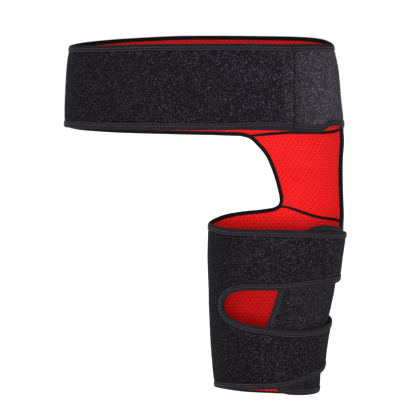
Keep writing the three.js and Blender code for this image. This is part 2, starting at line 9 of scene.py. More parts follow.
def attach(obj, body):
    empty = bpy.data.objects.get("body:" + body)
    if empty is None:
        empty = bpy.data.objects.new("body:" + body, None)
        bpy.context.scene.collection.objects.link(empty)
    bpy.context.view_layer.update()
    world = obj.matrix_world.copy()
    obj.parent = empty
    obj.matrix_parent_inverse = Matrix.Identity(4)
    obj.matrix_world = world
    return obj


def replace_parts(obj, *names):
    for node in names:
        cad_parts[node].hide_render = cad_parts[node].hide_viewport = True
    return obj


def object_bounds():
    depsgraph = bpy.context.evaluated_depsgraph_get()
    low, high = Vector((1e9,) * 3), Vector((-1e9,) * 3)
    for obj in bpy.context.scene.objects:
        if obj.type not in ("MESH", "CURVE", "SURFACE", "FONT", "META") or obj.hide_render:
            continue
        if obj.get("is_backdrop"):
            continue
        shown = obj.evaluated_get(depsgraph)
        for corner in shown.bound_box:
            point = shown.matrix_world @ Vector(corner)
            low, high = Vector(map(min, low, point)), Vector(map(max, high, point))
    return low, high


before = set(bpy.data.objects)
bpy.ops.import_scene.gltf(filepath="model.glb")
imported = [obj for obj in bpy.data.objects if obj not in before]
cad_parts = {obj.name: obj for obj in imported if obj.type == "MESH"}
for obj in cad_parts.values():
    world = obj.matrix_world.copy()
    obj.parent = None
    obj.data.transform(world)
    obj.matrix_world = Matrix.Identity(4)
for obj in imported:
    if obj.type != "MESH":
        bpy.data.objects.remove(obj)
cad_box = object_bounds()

# --------------------------------------------------
# The waist belt's cut: one long strip of foam laminate, wrapped round the waist and closed on the
# front, where its square end lies over the wing. It is drawn on an oval form that widens downwards,
# by angle (0 at the braced side, 90 at the back, 270 at the front) and height.
BELT = {
    "centre": 0.0,
    "level": 0.0,
    "height": 0.109,
    "width": 0.3614,
    "depth": 0.2,
    "roundness": 2.5,
    # level and centre as shares of height and width, then shares of the width and the depth
    "sections": [
        (-0.65, 0.006, 1.014, 1.003),
        (-0.5, 0.006, 1.0, 1.0),
        (-0.15, 0.002, 0.985, 0.99),
        (0.2, 0.0, 0.969, 0.972),
        (0.45, -0.003, 0.944, 0.95),
        (0.7, -0.004, 0.918, 0.925),
    ],
}
# its edges: angle, and level as a share of the height
BELT_TOP = [
    (-80, 0.46), (-52, 0.487), (-36, 0.494), (-10, 0.492), (5, 0.525), (22, 0.577), (38, 0.605),
    (60, 0.622), (90, 0.631), (119, 0.598), (150, 0.545), (180, 0.492), (200, 0.474), (226, 0.474),
    (257, 0.486), (282, 0.49), (308, 0.478),
]
BELT_BOTTOM = [
    (-80, -0.5), (-52, -0.52), (-41, -0.537), (-35, -0.511), (-28, -0.46), (-12, -0.464),
    (5, -0.503), (12, -0.52), (22, -0.543), (33, -0.554), (53, -0.555), (65, -0.572), (78, -0.6),
    (92, -0.585), (124, -0.558), (150, -0.525), (180, -0.476), (207, -0.486), (234, -0.4955),
    (252, -0.4995), (271, -0.5055), (292, -0.486), (308, -0.514),
]
WING_ANGLE = -80
SECOND_TURN = 100  # from this angle on the cloth may lie over its own beginning
BELT_END = 0.114  # from the middle of the waist to the closing end
BELT_REACH = (-0.07, 0.072)  # heights between which all of the belt lies
CLOTH = 0.0033  # thickness of lining, foam and plush together
LAP = 0.0056  # how far an end stands off where it lies over the layer below it
BELT_CLIMB = (212, 270)  # angles over which the belt climbs on to the wing


def read(table, at, column=1):
    """One column of a table, read smoothly between its rows and without overshoot."""
    rows = np.array(table)
    keys, values = rows[:, 0], rows[:, column]
    slope = np.diff(values) / np.diff(keys)
    product, total = slope[:-1] * slope[1:], slope[:-1] + slope[1:]
    turning = np.where(product > 0, 2 * product / np.where(product > 0, total, 1), 0)
    tangent = np.concatenate([slope[:1], turning, slope[-1:]])
    place = np.clip(at, keys[0], keys[-1])
    row = np.clip(np.searchsorted(keys, place) - 1, 0, len(keys) - 2)
    span = keys[row + 1] - keys[row]
    t = (place - keys[row]) / span
    bend = t * t * (3 - 2 * t) * (values[row + 1] - values[row])
    leave = t * (1 - t) ** 2 * tangent[row] * span
    arrive = t * t * (1 - t) * tangent[row + 1] * span
    return values[row] + bend + leave - arrive


def smooth(at, start, end):
    t = np.clip((at - start) / (end - start), 0, 1)
    return t * t * (3 - 2 * t)


def signed_power(value, power):
    return np.sign(value) * np.abs(value) ** power


def oval_at(form, height):
    """Centre, half width and half depth of a form at a height."""
    level = (height - form["level"]) / form["height"]
    centre, wide, deep = (read(form["sections"], level, column) for column in (1, 2, 3))
    return (
        form["centre"] + centre * form["width"],
        wide * form["width"] / 2,
        deep * form["depth"] / 2,
    )


def on_form(form, angle, height, out):
    """Places on a form at angles and heights, moved straight out from it."""
    angle, height = np.broadcast_arrays(np.asarray(angle, float), height)
    centre, wide, deep = oval_at(form, height)
    power = 2 / form["roundness"]
    c, s = np.cos(np.radians(angle)), np.sin(np.radians(angle))
    across, back = signed_power(c, 2 - power) / wide, signed_power(s, 2 - power) / deep
    reach = out / np.hypot(across, back)
    x = centre + wide * signed_power(c, power) + across * reach
    y = deep * signed_power(s, power) + back * reach
    return np.stack([x, y, height], axis=-1)


def front_angle(form, x, height):
    """Angle on the front of a form at a distance to the side of the waist's middle."""
    centre, wide, _ = oval_at(form, height)
    return 360 - np.degrees(np.arccos(signed_power((x - centre) / wide, form["roundness"] / 2)))


def edge(form, table, angle):
    return form["level"] + form["height"] * read(table, angle)


def belt_face(angle, height):
    """The belt's face against the body, which climbs on to the wing at the front."""
    return on_form(BELT, angle, height, LAP * smooth(angle, *BELT_CLIMB))


def belt_low(angle):
    return edge(BELT, BELT_BOTTOM, angle)


def belt_high(angle):
    return edge(BELT, BELT_TOP, angle)


def belt_end(height):
    return front_angle(BELT, BELT_END, height)


def directions(face, u, v):
    """How a face runs along its two directions, and the way out of the body."""
    du, dv = 0.02, 2e-5  # steps that are small beside the face's bends
    along = (face(u + du, v) - face(u - du, v)) / (2 * du)
    across = (face(u, v + dv) - face(u, v - dv)) / (2 * dv)
    out = np.cross(along, across)
    return along, across, out / np.linalg.norm(out, axis=-1, keepdims=True)


def lift(face, u, v, distance):
    """Places on a face, raised off it by a distance."""
    out = directions(face, u, v)[2]
    return face(u, v) + out * np.broadcast_to(distance, u.shape)[..., None]


def lay_threads(face, rows, middle, first, last, start, end, low, high, pitch):
    """Crossings of even rows and columns of the flat cloth, laid on a face and cut to its edges.

    Each row is measured out from the middle, so the columns keep their distance as the form widens.
    Crossings outside the cut move to its edge, and the last answer says which ones stayed."""
    fine = np.linspace(first, last, 1600)
    runs = []
    for row in rows:
        steps = np.linalg.norm(np.diff(face(fine, np.full_like(fine, row)), axis=0), axis=1)
        run = np.concatenate([[0], np.cumsum(steps)])
        runs.append(run - np.interp(middle, fine, run))
    fewest = math.floor(min(run[0] for run in runs) / pitch)
    most = math.ceil(max(run[-1] for run in runs) / pitch)
    marks = np.arange(fewest, most + 1) * pitch
    wanted_u = np.stack(
        [np.interp(marks, run, fine, left=first - 1, right=last + 1) for run in runs], axis=1
    )
    wanted_v = np.broadcast_to(rows, wanted_u.shape)
    u, v = wanted_u, wanted_v
    for _ in range(3):
        u = np.clip(wanted_u, start(v), end(v))
        v = np.clip(wanted_v, low(u), high(u))
    return u, v, (u == wanted_u) & (v == wanted_v)


def cut_cloth(face, grids):
    """One cut piece from grids of crossings: its places, its cells, the whole ones and its edge.

    Only every other whole cell counts as whole, since the lining's holes are staggered. Its faces
    are the cells without repeated corners, and its walls join them to a second layer."""
    u = np.concatenate([grid[0].ravel() for grid in grids])
    v = np.concatenate([grid[1].ravel() for grid in grids])
    cells, whole, odd, start = [], [], [], 0
    corner = [slice(None, -1), slice(1, None)]
    turn = [(0, 0), (1, 0), (1, 1), (0, 1)]
    for grid_u, _, inside in grids:
        index = start + np.arange(grid_u.size).reshape(grid_u.shape)
        start += grid_u.size
        cells.append(np.stack([index[corner[i], corner[j]].ravel() for i, j in turn], axis=1))
        whole.append(np.all([inside[corner[i], corner[j]].ravel() for i, j in turn], axis=0))
        column, row = np.indices((grid_u.shape[0] - 1, grid_u.shape[1] - 1))
        odd.append(((column + row) % 2 == 0).ravel())
    cells, whole, odd = (np.concatenate(part) for part in (cells, whole, odd))
    keys = np.stack([np.round(u * 1e4), np.round(v * 1e7)], axis=1)
    _, seen, which = np.unique(keys, axis=0, return_index=True, return_inverse=True)
    u, v, cells = u[seen], v[seen], which.ravel()[cells]
    points = face(u, v)
    first, second = (points[cells[:, k + 2]] - points[cells[:, k]] for k in (0, 1))
    area = np.linalg.norm(np.cross(first, second), axis=1) / 2
    kept = area > 0.05 * np.median(area)  # slivers at the edge are left out
    cells, whole, odd = cells[kept], whole[kept], odd[kept]
    sides = np.concatenate([cells[:, [k, (k + 1) % 4]] for k in range(4)])
    sides = sides[sides[:, 0] != sides[:, 1]]
    count = len(u)
    forward, backward = sides[:, 0] * count + sides[:, 1], sides[:, 1] * count + sides[:, 0]
    rim = sides[~np.isin(forward, backward)]
    faces = [[c for k, c in enumerate(f) if c != f[k - 1]] for f in cells.tolist()]
    walls = [[b, a, count + a, count + b] for a, b in rim.tolist()]
    names = ("u", "v", "cells", "whole", "rim", "faces", "walls")
    return dict(zip(names, (u, v, cells, whole & odd, rim, faces, walls)))


def from_edge(piece, face, bound):
    """Distance of each place on a cut piece from its bound edge, with its two turns kept apart."""
    points = face(piece["u"], piece["v"])
    points[:, 2] += piece["u"] > SECOND_TURN
    ends = np.unique(piece["rim"])
    ends = ends[bound(piece["u"][ends], piece["v"][ends])]
    tree = KDTree(len(ends))
    for index in ends:
        tree.insert(points[index], int(index))
    tree.balance()
    return np.array([tree.find(point)[2] for point in points])


def make_piece(name, points, faces, materials, finishes=None):
    """A piece of the brace as a smooth mesh. finishes picks one of the materials for each face."""
    mesh = bpy.data.meshes.new(name)
    mesh.from_pydata(points.tolist(), [], faces)
    for material in materials:
        mesh.materials.append(material)
    if finishes is not None:
        mesh.polygons.foreach_set("material_index", finishes)
    mesh.shade_smooth()
    mesh.update()
    piece = bpy.data.objects.new(name, mesh)
    bpy.context.scene.collection.objects.link(piece)
    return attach(piece, "root")


def new_material(name):
    material = bpy.data.materials.new(name)
    material.use_nodes = True
    tree = material.node_tree
    return material, tree, tree.nodes["Principled BSDF"]


def add(tree, kind, inputs, **settings):
    """A node of a material, with its settings, and its inputs as values or other nodes' outputs."""
    node = tree.nodes.new(kind)
    for setting, value in settings.items():
        setattr(node, setting, value)
    for socket, value in inputs.items():
        if isinstance(value, bpy.types.NodeSocket):
            tree.links.new(value, node.inputs[socket])
        else:
            node.inputs[socket].default_value = value
    return node


def ramp(tree, factor, stops):
    """Tones between stops of (place, colour or grey)."""
    node = add(tree, "ShaderNodeValToRGB", {"Fac": factor})
    while len(node.color_ramp.elements) < len(stops):
        node.color_ramp.elements.new(0.5)
    for element, (place, colour) in zip(node.color_ramp.elements, stops):
        element.position = place
        element.color = (*np.broadcast_to(colour, 3), 1)
    return node.outputs["Color"]


def times(tree, tone, other):
    """A tone multiplied by another."""
    inputs = {0: 1.0, 6: tone, 7: other}
    return add(tree, "ShaderNodeMix", inputs, data_type="RGBA", blend_type="MULTIPLY").outputs[2]


def noise(tree, scale, detail):
    """Cloudy greys, finer for a larger scale."""
    place = add(tree, "ShaderNodeTexCoord", {}).outputs["Object"]
    inputs = {"Vector": place, "Scale": scale, "Detail": detail}
    return add(tree, "ShaderNodeTexNoise", inputs).outputs["Fac"]


def grains(tree, scale, randomness=1.0):
    """Grains that fill the space: distance from their middles, and a colour for each."""
    place = add(tree, "ShaderNodeTexCoord", {}).outputs["Object"]
    inputs = {"Vector": place, "Scale": scale, "Randomness": randomness}
    made = add(tree, "ShaderNodeTexVoronoi", inputs)
    return made.outputs["Distance"], made.outputs["Color"]


def reckon(tree, operation, *values):
    """A sum, difference or product of greys and numbers."""
    return add(tree, "ShaderNodeMath", dict(enumerate(values)), operation=operation).outputs[0]


def finish(tree, shader, tone, relief, rough, gloss=0.5, sheen=None, invert=False):
    """Gives a shader its tone, its relief (height, strength, distance) and its surface's values."""
    tree.links.new(tone, shader.inputs["Base Color"])
    inputs = dict(zip(("Height", "Strength", "Distance"), relief))
    bump = add(tree, "ShaderNodeBump", inputs, invert=invert)
    tree.links.new(bump.outputs["Normal"], shader.inputs["Normal"])
    shader.inputs["Roughness"].default_value = rough
    shader.inputs["Specular IOR Level"].default_value = gloss
    for part, value in zip(("Weight", "Roughness", "Tint"), sheen or ()):
        shader.inputs["Sheen " + part].default_value = value


# --------------------------------------------------
# Loop plush, the outside of every piece: a black knit laminated to the foam, brushed up into loops
# of about 2 mm so that hook tape grips it anywhere. Loops that catch the light show as grey specks.
# Painted light and shade from each piece is multiplied into the tone, and a painted sheen is added,
# so the wing looks greyer than the rest.
plush, tree, shader = new_material("loop_plush")
loops, loop_colours = grains(tree, 900)
tufts = noise(tree, 700, 3)
each_loop = add(tree, "ShaderNodeSeparateColor", {"Color": loop_colours}).outputs["Red"]
loop_tones = [
    (0.0, (0.0036, 0.0031, 0.0045)),
    (0.25, (0.0068, 0.0059, 0.0083)),
    (0.4, (0.0165, 0.0146, 0.0196)),
    (0.6, (0.08, 0.073, 0.089)),
]
tone = ramp(tree, reckon(tree, "MULTIPLY", each_loop, tufts), loop_tones)
tone = times(tree, tone, ramp(tree, noise(tree, 260, 2), [(0.35, 0.82), (0.65, 1.15)]))
tone = times(tree, tone, ramp(tree, noise(tree, 14, 2), [(0.3, 0.9), (0.7, 1.1)]))
# painted light and shade, set on each piece, multiplies the tone, and a painted sheen is added to
# it
painted_shading = add(tree, "ShaderNodeAttribute", {}, attribute_name="painted_shading").outputs["Color"]
painted_sheen = add(tree, "ShaderNodeAttribute", {}, attribute_name="painted_sheen").outputs["Fac"]
painted_tone = {0: times(tree, tone, painted_shading), 1: painted_sheen}
tone = add(tree, "ShaderNodeVectorMath", painted_tone, operation="ADD").outputs[0]
pile = reckon(tree, "SUBTRACT", loops, tufts)
sheen = (0.015, 0.45, (0.85, 0.84, 0.9, 1))
finish(tree, shader, tone, (pile, 0.7, 0.0008), 0.95, 0.06, sheen, invert=True)

# the cut edge of the foam, which shows only at the belt's closing end
cut_foam, tree, shader = new_material("cut_foam")
bubbles, _ = grains(tree, 2600)
tone = ramp(tree, bubbles, [(0.1, (0.002, 0.002, 0.0022)), (0.6, (0.009, 0.0085, 0.0095))])
finish(tree, shader, tone, (bubbles, 0.5, 0.0002), 0.95, 0.03)

random = np.random.default_rng(7)
PLUSH_CELL = 0.002  # a loop and the gap beside it
FOAM_SIDE = 0.0009  # the foam's underside, which lies on the lining
PRESSED = CLOTH - 0.0001  # the plush's face where the tape presses it
PILE = 0.0006  # how far the loops stand up clear of that
PILE_UNEVEN = 0.00022  # how much one loop differs from the next
PILE_RISES = (0.0066, 0.0115)  # distance from a bound edge over which the pile opens
SHADE_BESIDE_TAPE = 0.65  # painted shade in the groove close to the tape, as the pile's brightness there
TAPE_SHADE = (0.0074, 0.0096)  # distance from a bound edge over which that ends
LIGHT_TO_THE_RIGHT = (0.03, 1.5)  # painted light: the pile is lighter to the right of this place, by this much a metre
SHADE_LOWER_DOWN = (-0.06, 0.9)  # and painted shade: darker below this height
PAINTED_SHEEN = 0.012  # painted sheen: grey added where the pile is painted lighter

everywhere = lambda u, v: np.full_like(u, True, bool)
nowhere = lambda u, v: np.zeros_like(u)


def plush_layer(name, face, piece, painted_light_at=nowhere, bound=everywhere):
    """Foam and plush of a cut piece, pressed thin under the tape, pebbled by its loops and painted
    with light and shade.
    """
    u, v = piece["u"], piece["v"]
    inwards = from_edge(piece, face, bound)
    uneven = random.uniform(-PILE_UNEVEN, PILE_UNEVEN, len(u))
    above = lift(face, u, v, PRESSED + smooth(inwards, *PILE_RISES) * (PILE + uneven))
    under = lift(face, u, v, FOAM_SIDE)
    faces = piece["faces"] + [[len(u) + c for c in reversed(f)] for f in piece["faces"]]
    finishes = [0] * len(faces) + [1] * len(piece["walls"])
    faces += piece["walls"]
    made = make_piece(name, np.concatenate([above, under]), faces, [plush, cut_foam], finishes)
    x, _, z = face(u, v).T
    # painted light, lighter to the right, and painted shade, darker lower down
    painted_light_slope = (1 + LIGHT_TO_THE_RIGHT[1] * (x - LIGHT_TO_THE_RIGHT[0])) * (1 + SHADE_LOWER_DOWN[1] * np.minimum(z - SHADE_LOWER_DOWN[0], 0))
    painted_light = painted_light_at(u, v)
    # painted shade in the groove beside the tape
    groove_shade = SHADE_BESIDE_TAPE + (1 - SHADE_BESIDE_TAPE) * smooth(inwards, *TAPE_SHADE)
    shade = groove_shade * painted_light_slope * (1 + painted_light)
    shades = np.repeat(np.concatenate([shade, shade])[:, None], 4, axis=1)
    shades[:, 3] = 1
    attribute = made.data.attributes.new("painted_shading", "FLOAT_COLOR", "POINT")
    attribute.data.foreach_set("color", shades.ravel().astype(np.float32))
    # painted sheen where the pile is painted lighter
    attribute = made.data.attributes.new("painted_sheen", "FLOAT", "POINT")
    greys = np.tile(PAINTED_SHEEN * np.maximum(painted_light, 0), 2)
    attribute.data.foreach_set("value", greys.astype(np.float32))
    return made


WING_PAINTED_LIGHT = (0.45, 0.8)  # painted light next to the closing end, and the painted light that the pile gains further right
END_PAINTED_LIGHT = 0.3  # painted light on the last of the closing end
END_PAINTED_SHADOW = (0.7, 0.0018, 0.9)  # a painted shadow line beside the end: how dark, how far past the end, degrees wide


def wing_painted_light(angle, height):
    """Painted light on the belt's pile, on the wing and at its end, less a painted shadow line
    beside the end.
    """
    beside_end, gain = WING_PAINTED_LIGHT
    wing = smooth(-angle, -40, 0) * (beside_end + gain * smooth(angle, -60, -25))
    dark, past, wide = END_PAINTED_SHADOW
    beside = front_angle(BELT, BELT_END + past, height) - 360
    line = dark * np.exp(-(((angle - beside) / wide) ** 2))
    return wing - line + END_PAINTED_LIGHT * smooth(angle, 298.5, 301)


def rows_between(low, high, pitch, through=0.0):
    """Even heights that cover a span and go through one height."""
    first, last = math.floor((low - through) / pitch) - 1, math.ceil((high - through) / pitch) + 1
    return through + pitch * np.arange(first, last + 1)


def belt_cut(pitch, row_pitch):
    """The belt's rows and columns, from the wing's end to the closing end."""
    rows = rows_between(*BELT_REACH, row_pitch)
    start = lambda v: np.full_like(v, WING_ANGLE)
    cut = (start, belt_end, belt_low, belt_high)
    return cut_cloth(belt_face, [lay_threads(belt_face, rows, 90, WING_ANGLE, 309, *cut, pitch)])


belt_loops = belt_cut(PLUSH_CELL, PLUSH_CELL)
bound_edge = lambda u, v: u < belt_end(v) - 0.02  # all but the closing end
belt_plush = plush_layer("belt_plush", belt_face, belt_loops, wing_painted_light, bound_edge)
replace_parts(belt_plush, "belt_shell")

# --------------------------------------------------
# Perforated lining, the side against the body: a red knit laminated to the foam, punched with
# 1.7 mm breathing holes in staggered rows. The holes go right through it, down to the black foam.
HOLE_SPACE = 0.0033  # half the distance between two holes of a row
HOLE_ROWS = 0.0043
HOLE_RADIUS = 0.00085
HOLE_DEPTH = 0.0006
LINING = 0.0008  # thickness
BELT_HOLES_END = 284  # from this angle on the belt's lining lies hidden on the wing

lining, tree, shader = new_material("perforated_lining")
knit, _ = grains(tree, 1500, 0.55)
reds = [(0.25, (0.72, 0.0052, 0.007)), (0.5, (0.86, 0.0095, 0.011)), (0.8, (0.93, 0.018, 0.0185))]
worn = ramp(tree, noise(tree, 22, 3), [(0.3, (0.93, 0.9, 0.9)), (0.7, (1.04, 1.06, 1.06))])
tone = times(tree, ramp(tree, noise(tree, 700, 3), reds), worn)
finish(tree, shader, tone, (knit, 0.35, 0.0003), 0.75, 0.1, (0.03, 0.5, (1.0, 0.45, 0.42, 1)))

hole_foam, tree, shader = new_material("foam_in_the_holes")
cellular = noise(tree, 1800, 2)
tone = ramp(tree, cellular, [(0.3, (0.05, 0.002, 0.003)), (0.7, (0.13, 0.004, 0.005))])
finish(tree, shader, tone, (cellular, 0.5, 0.0002), 0.9)


def lining_layer(name, face, piece, shows_to=None):
    """Lining of a cut piece, with a hole in every other cell up to the angle that can be seen."""
    u, v, cells, faces = piece["u"], piece["v"], piece["cells"], piece["faces"]
    count = len(u)
    punched = piece["whole"].copy()
    if shows_to is not None:
        punched &= u[cells].mean(axis=1) < shows_to
    plain = [[count + c for c in reversed(f)] for f, hole in zip(faces, punched) if not hole]
    holes = cells[punched]
    turn = np.radians(22.5 + 45 * np.arange(8))
    across = 0.5 + HOLE_RADIUS / HOLE_SPACE * np.cos(turn)
    up = 0.5 + HOLE_RADIUS / HOLE_ROWS * np.sin(turn)
    shares = np.stack([(1 - across) * (1 - up), across * (1 - up), across * up, (1 - across) * up])
    ring_u, ring_v = (u[holes] @ shares).ravel(), (v[holes] @ shares).ravel()
    mouth = lift(face, ring_u, ring_v, 0)
    floor = lift(face, ring_u, ring_v, HOLE_DEPTH)
    points = np.concatenate([lift(face, u, v, LINING), lift(face, u, v, 0), mouth, floor])
    around, inside = [], []
    for index, (a, b, c, d) in enumerate((holes + count).tolist()):
        o = [2 * count + 8 * index + k for k in range(8)]
        q = [k + 8 * len(holes) for k in o]
        around += [
            [o[5], o[6], b, a], [o[6], o[7], b], [o[7], o[0], c, b], [o[0], o[1], c],
            [o[1], o[2], d, c], [o[2], o[3], d], [o[3], o[4], a, d], [o[4], o[5], a],
        ]
        inside += [[o[(k + 1) % 8], o[k], q[k], q[(k + 1) % 8]] for k in range(8)]
        inside.append(q[::-1])
    outer = faces + plain + piece["walls"] + around
    finishes = [0] * len(outer) + [1] * len(inside)
    made = make_piece(name, points, outer + inside, [lining, hole_foam], finishes)
    made.data.polygons.foreach_set("use_smooth", [True] * len(outer) + [False] * len(inside))
    return made


belt_holes = belt_cut(HOLE_SPACE, HOLE_ROWS)
belt_lining = lining_layer("belt_red_lining", belt_face, belt_holes, BELT_HOLES_END)
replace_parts(belt_lining, "belt_lining")

# --------------------------------------------------
# The thigh wrap. It starts at the flap, goes round the back of the thigh and splits into two
# straps, which close over the flap on the front. The gap between them ends in a rounded mouth.
WRAP = {
    "centre": 0.096,
    "level": float(belt_low(270.0)) - 0.128,
    "height": 0.209,
    "width": 0.167,
    "depth": 0.156,
    "roundness": 2.3,
    "sections": [
        (-1.15, -0.065, 0.758, 0.755),
        (-1.02, -0.063, 0.79, 0.781),
        (-0.88, -0.067, 0.818, 0.814),
        (-0.8, -0.066, 0.837, 0.835),
        (-0.7, -0.061, 0.863, 0.863),
        (-0.6, -0.052, 0.891, 0.89),
        (-0.5, -0.041, 0.925, 0.916),
        (-0.4, -0.029, 0.952, 0.94),
        (-0.2, -0.018, 0.991, 0.98),
        (-0.05, -0.002, 1.015, 0.995),
        (0, 0.003, 1.022, 1),
        (0.15, 0.013, 1.038, 1.015),
    ],
}
WRAP_TOP = [
    (-95, -0.017), (-68, -0.014), (-60, 0.007), (-50, 0.015), (-38, 0.009), (-15, -0.007),
    (-4, 0.001), (6, 0.021), (20, 0.027), (41, 0.032), (54, 0.043), (65, 0.061), (75, 0.084),
    (85, 0.101), (92, 0.0915), (100, 0.082), (118, 0.0705), (137, 0.055), (155, 0.034),
    (180, 0.014), (205, 0.007), (228, -0.005), (260, -0.007), (289, -0.015), (311, -0.023),
    (340, -0.033), (360, -0.039), (415, -0.041),
]
UPPER_STRAP_BOTTOM = [
    (220, -0.377), (273, -0.376), (287, -0.366), (307, -0.352), (340, -0.345), (360, -0.339),
    (415, -0.3),
]
LOWER_STRAP_TOP = [
    (220, -0.585), (256, -0.603), (268, -0.613), (278, -0.627), (292, -0.636), (308, -0.631),
    (330, -0.62), (345, -0.605), (360, -0.588), (415, -0.555),
]
WRAP_BOTTOM = [
    (-95, -1.003), (-83, -1.016), (-67, -1.036), (-36, -1.044), (0, -1.045), (45, -1.08),
    (72, -1.095), (105, -1.0865), (143, -1.055), (180, -1.019), (203, -1.007), (252, -0.999),
    (277, -0.993), (293, -0.975), (308, -0.952), (327, -0.924), (348, -0.9), (360, -0.889),
    (415, -0.855),
]
FLAP_END = [  # level, angle
    (-1.05, -84), (-0.9, -90), (-0.76, -93), (-0.61, -91.6), (-0.5, -89), (-0.38, -86.3),
    (0.03, -76),
]
GAP_ANGLE = 221  # blind end of the cut between the straps
GAP_HEIGHT = WRAP["level"] - 0.49 * WRAP["height"]
GAP_ROUNDS = {"upper": 0.046, "lower": 0.06}  # length over which the cut opens
STRAP_END = 412
STRAP_CORNER = 0.02
WRAP_REACH = (-0.42, -0.155)  # heights between which all of the wrap lies
WRAP_HOLES_END = 275  # from this angle on the straps' lining lies hidden on the flap
FLAP_ANGLE = -63  # the flap's end slants from here on
FLAP_CORNER = 0.008
ARC = math.radians(WRAP["depth"] / 2)  # length of a degree on the wrap
WRAP_CLIMB = (205, 262)  # angles over which the straps climb on to the flap


def wrap_face(angle, height):
    """The wrap's face against the thigh, which climbs on to the flap at the front."""
    return on_form(WRAP, angle, height, LAP * smooth(angle, *WRAP_CLIMB))


def flap_end(height):
    return read(FLAP_END, (height - WRAP["level"]) / WRAP["height"])


FLAP_WIDTH = (FLAP_ANGLE - float(flap_end(WRAP["level"]))) * ARC


def corner_cut(distance, radius):
    """How much a round corner takes off an edge at a distance from the end."""
    left = radius - np.clip(distance, 0, radius)
    return radius - np.sqrt(radius**2 - left**2)


def strap_cut(angle):
    return corner_cut((STRAP_END - angle) * ARC, STRAP_CORNER)


def flap_cut(angle, height):
    end = flap_end(height)
    return corner_cut((angle - end) / (FLAP_ANGLE - end) * FLAP_WIDTH, FLAP_CORNER)


def wrap_low(angle):
    low = edge(WRAP, WRAP_BOTTOM, angle)
    return low + strap_cut(angle) + np.where(angle < FLAP_ANGLE, flap_cut(angle, low), 0)


def wrap_high(angle):
    high = edge(WRAP, WRAP_TOP, angle)
    return high - strap_cut(angle) - np.where(angle < FLAP_ANGLE, flap_cut(angle, high), 0)


def gap_side(angle, table, length):
    closed = 1 - np.clip((angle - GAP_ANGLE) * ARC / length, 0, 1)
    opened = np.sqrt(1 - closed**2)
    return GAP_HEIGHT + (edge(WRAP, table, angle) - GAP_HEIGHT) * opened


def gap_floor(angle):
    cut = np.where(angle > GAP_ANGLE, strap_cut(angle), 0)
    return gap_side(angle, LOWER_STRAP_TOP, GAP_ROUNDS["lower"]) - cut


def gap_roof(angle):
    cut = np.where(angle > GAP_ANGLE, strap_cut(angle), 0)
    return gap_side(angle, UPPER_STRAP_BOTTOM, GAP_ROUNDS["upper"]) + cut


def wrap_cut(pitch, row_pitch):
    """The wrap above and below the level of the gap, joined where the gap hasn't begun."""
    rows = rows_between(*WRAP_REACH, row_pitch, GAP_HEIGHT)
    whole = int(np.argmin(np.abs(rows - GAP_HEIGHT)))
    end = lambda v: np.full_like(v, STRAP_END)
    halves = ((rows[: whole + 1], wrap_low, gap_floor), (rows[whole:], gap_roof, wrap_high))
    grids = [
        lay_threads(wrap_face, part, 100, -96, STRAP_END, flap_end, end, low, high, pitch)
        for part, low, high in halves
    ]
    return cut_cloth(wrap_face, grids)


# painted light on the flap, and painted shade at the wrap's left
FLAP_PAINTED_LIGHT, LEFT_PAINTED_SHADE = 0.15, 0.3


def flap_painted_light(angle, height):
    """Painted light and shade on the wrap's pile: a little lighter on the flap, and painted shade
    at the left.
    """
    return FLAP_PAINTED_LIGHT * smooth(-angle, 0, 40) - LEFT_PAINTED_SHADE * smooth(np.abs(angle - 200), 70, 0)


wrap_plush = plush_layer("thigh_wrap_plush", wrap_face, wrap_cut(PLUSH_CELL, PLUSH_CELL), flap_painted_light)
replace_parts(wrap_plush, "thigh_wrap_shell")
wrap_holes = wrap_cut(HOLE_SPACE, HOLE_ROWS)
wrap_lining = lining_layer("thigh_wrap_red_lining", wrap_face, wrap_holes, WRAP_HOLES_END)
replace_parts(wrap_lining, "thigh_wrap_lining")

# --------------------------------------------------
# The hip panel, cut from the same laminate. It joins the belt's bottom edge at the back of the hip
# to the wrap's top edge, with side edges hollowed towards the groin. Places on it are a column
# across and a share of the way down; its columns stand under the belt and over the wrap.
SEAM_GAP = 0.0012  # between the panel and the cloth that it is sewn to
HIP_HEIGHT = 0.126  # from seam to seam
HIP_EDGES = [  # share down, inner column, outer column
    (0, -0.69, 9.3), (0.025, -0.43, 9.3), (0.08, -0.19, 9.22), (0.14, -0.03, 9.05),
    (0.21, 0.12, 8.62), (0.3, 0.18, 8.18), (0.45, 0.05, 7.82), (0.62, -0.23, 7.72),
    (0.78, -0.49, 7.95), (0.88, -0.57, 8.38), (0.94, -0.61, 8.7), (0.975, -0.7, 8.8),
    (1, -0.86, 8.9),
]


def on_belt(column):
    """Angle on the belt that a column of the panel hangs from."""
    return 72 - 7.2 * column


def on_wrap(column):
    """Angle on the wrap that it ends at."""
    return 81 - 9.0 * column


def hip_face(column, down):
    """The panel between its seams, leaving each in the direction of the cloth beyond it."""
    column, down = np.broadcast_arrays(np.asarray(column, float), down)
    high, low = on_belt(column), on_wrap(column)
    top_height = belt_low(high) - SEAM_GAP
    low_height = edge(WRAP, WRAP_TOP, low) + SEAM_GAP
    top, bottom = belt_face(high, top_height), wrap_face(low, low_height)
    length = np.linalg.norm(top - bottom, axis=-1)
    step = 0.001
    leave = (belt_face(high, top_height - step) - top) / step * length[..., None]
    arrive = (wrap_face(low, low_height - step) - bottom) / step * length[..., None]
    t = down[..., None]
    between = (
        top
        + (bottom - top) * t * t * (3 - 2 * t)
        + leave * t * (1 - t) ** 2
        - arrive * t * t * (1 - t)
    )
    above = belt_face(high, top_height - down * length)
    below = wrap_face(low, low_height - (down - 1) * length)
    return np.where(t < 0, above, np.where(t > 1, below, between))


def hip_inner(down):
    return read(HIP_EDGES, down, 1)


def hip_outer(down):
    return read(HIP_EDGES, down, 2)


